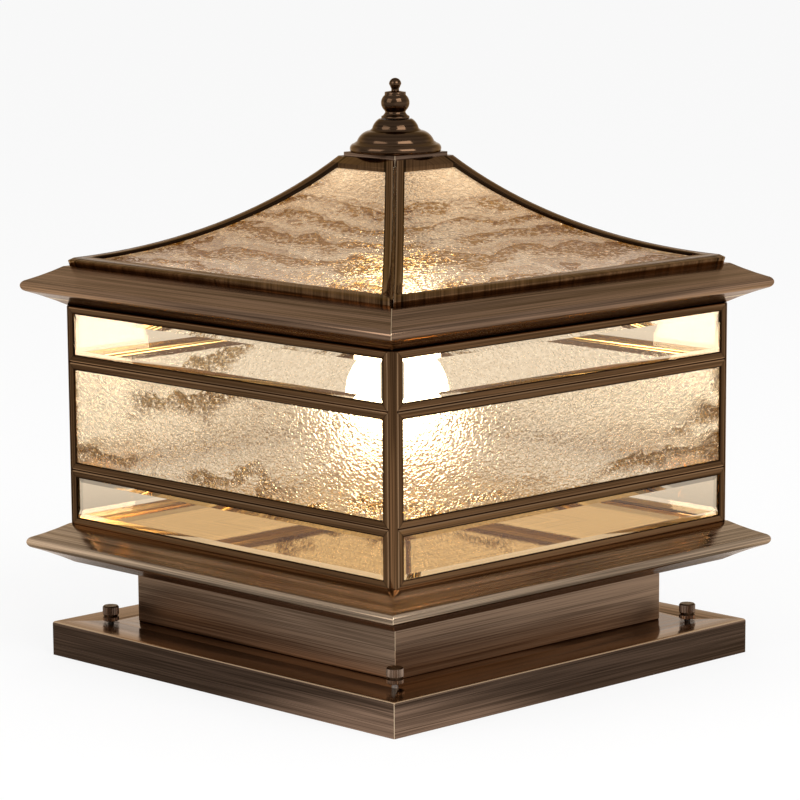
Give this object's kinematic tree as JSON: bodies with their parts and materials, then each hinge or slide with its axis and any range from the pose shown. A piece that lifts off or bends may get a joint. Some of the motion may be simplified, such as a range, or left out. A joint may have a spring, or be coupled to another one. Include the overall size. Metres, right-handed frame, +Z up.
{
  "type": "pillar lantern",
  "caption": "Square outdoor pillar lantern: framed glass tiers between two moulded eaves, a swept glass roof with a turned finial, and a bulb hung inside.",
  "frame": {"origin": "centre of the underside, on the pillar's top", "axes": "+Z up the lantern's axis to the finial; the front faces -Y and the right side +X"},
  "size_m": [0.3422, 0.3422, 0.3742],
  "materials": {
    "antique_brass": "brushed and darkened to an antique bronze, polished sheen",
    "turned_brass": "turned and polished, antique tint",
    "polished_brass": "mirror polished",
    "clear_glass": "clear, polished bevels",
    "ripple_glass": "hammered ripple, champagne tint",
    "zinc_steel": "zinc plated",
    "black_rubber": "matt moulded",
    "white_plastic": "moulded",
    "white_ceramic": "glazed",
    "nickel_cap": "satin nickel",
    "frosted_glass": "frosted, warm white, lit"
  },
  "bodies": {
    "lantern": {"mounting_plate": "zinc_steel", "mounting_studs": "zinc_steel", "cable_grommet": "black_rubber", "terminal_block": "white_plastic", "base_pan": "antique_brass", "neck_box": "antique_brass", "lower_eave": "antique_brass", "floor_plate": "polished_brass", "corner_post_front_right": "antique_brass", "corner_post_back_right": "antique_brass", "corner_post_back_left": "antique_brass", "corner_post_front_left": "antique_brass", "lower_frame_front": "antique_brass", "lower_frame_right": "antique_brass", "lower_frame_back": "antique_brass", "lower_frame_left": "antique_brass", "middle_frame_front": "antique_brass", "middle_frame_right": "antique_brass", "middle_frame_back": "antique_brass", "middle_frame_left": "antique_brass", "upper_frame_front": "antique_brass", "upper_frame_right": "antique_brass", "upper_frame_back": "antique_brass", "upper_frame_left": "antique_brass", "lower_pane_front": "clear_glass", "lower_pane_right": "clear_glass", "lower_pane_back": "clear_glass", "lower_pane_left": "clear_glass", "upper_pane_front": "clear_glass", "upper_pane_right": "clear_glass", "upper_pane_back": "clear_glass", "upper_pane_left": "clear_glass", "middle_pane_front": "ripple_glass", "middle_pane_right": "ripple_glass", "middle_pane_back": "ripple_glass", "middle_pane_left": "ripple_glass"},
    "roof": {"upper_eave": "antique_brass", "roof_frame_front": "antique_brass", "roof_frame_right": "antique_brass", "roof_frame_back": "antique_brass", "roof_frame_left": "antique_brass", "roof_pane_front": "ripple_glass", "roof_pane_right": "ripple_glass", "roof_pane_back": "ripple_glass", "roof_pane_left": "ripple_glass", "hip_rib_front_right": "antique_brass", "hip_rib_back_right": "antique_brass", "hip_rib_back_left": "antique_brass", "hip_rib_front_left": "antique_brass", "crown_plate": "antique_brass", "centre_rod": "zinc_steel", "bell_cap": "antique_brass", "lampholder": "white_ceramic"},
    "finial": {"finial": "turned_brass"},
    "bulb": {"bulb_cap": "nickel_cap", "bulb_globe": "frosted_glass"},
    "thumb_nut_1": {"thumb_nut_1": "turned_brass"},
    "thumb_nut_2": {"thumb_nut_2": "turned_brass"},
    "thumb_nut_3": {"thumb_nut_3": "turned_brass"},
    "thumb_nut_4": {"thumb_nut_4": "turned_brass"}
  },
  "joints": [
    {"name": "roof_lift", "type": "slide", "parent": "lantern", "child": "roof", "axis": [0, 0, 1], "range_m": [0, 0.12]},
    {"name": "finial_turn", "type": "hinge", "parent": "roof", "child": "finial", "pos_m": [0, 0, 0.36], "axis": [0, 0, 1], "continuous": true},
    {"name": "bulb_turn", "type": "hinge", "parent": "roof", "child": "bulb", "pos_m": [0, 0, 0.24], "axis": [0, 0, 1], "continuous": true},
    {"name": "thumb_nut_1_turn", "type": "hinge", "parent": "lantern", "child": "thumb_nut_1", "pos_m": [0.13275, -0.13275, 0.0316], "axis": [0, 0, 1], "continuous": true},
    {"name": "thumb_nut_2_turn", "type": "hinge", "parent": "lantern", "child": "thumb_nut_2", "pos_m": [0.13275, 0.13275, 0.0316], "axis": [0, 0, 1], "continuous": true},
    {"name": "thumb_nut_3_turn", "type": "hinge", "parent": "lantern", "child": "thumb_nut_3", "pos_m": [-0.13275, 0.13275, 0.0316], "axis": [0, 0, 1], "continuous": true},
    {"name": "thumb_nut_4_turn", "type": "hinge", "parent": "lantern", "child": "thumb_nut_4", "pos_m": [-0.13275, -0.13275, 0.0316], "axis": [0, 0, 1], "continuous": true}
  ]
}
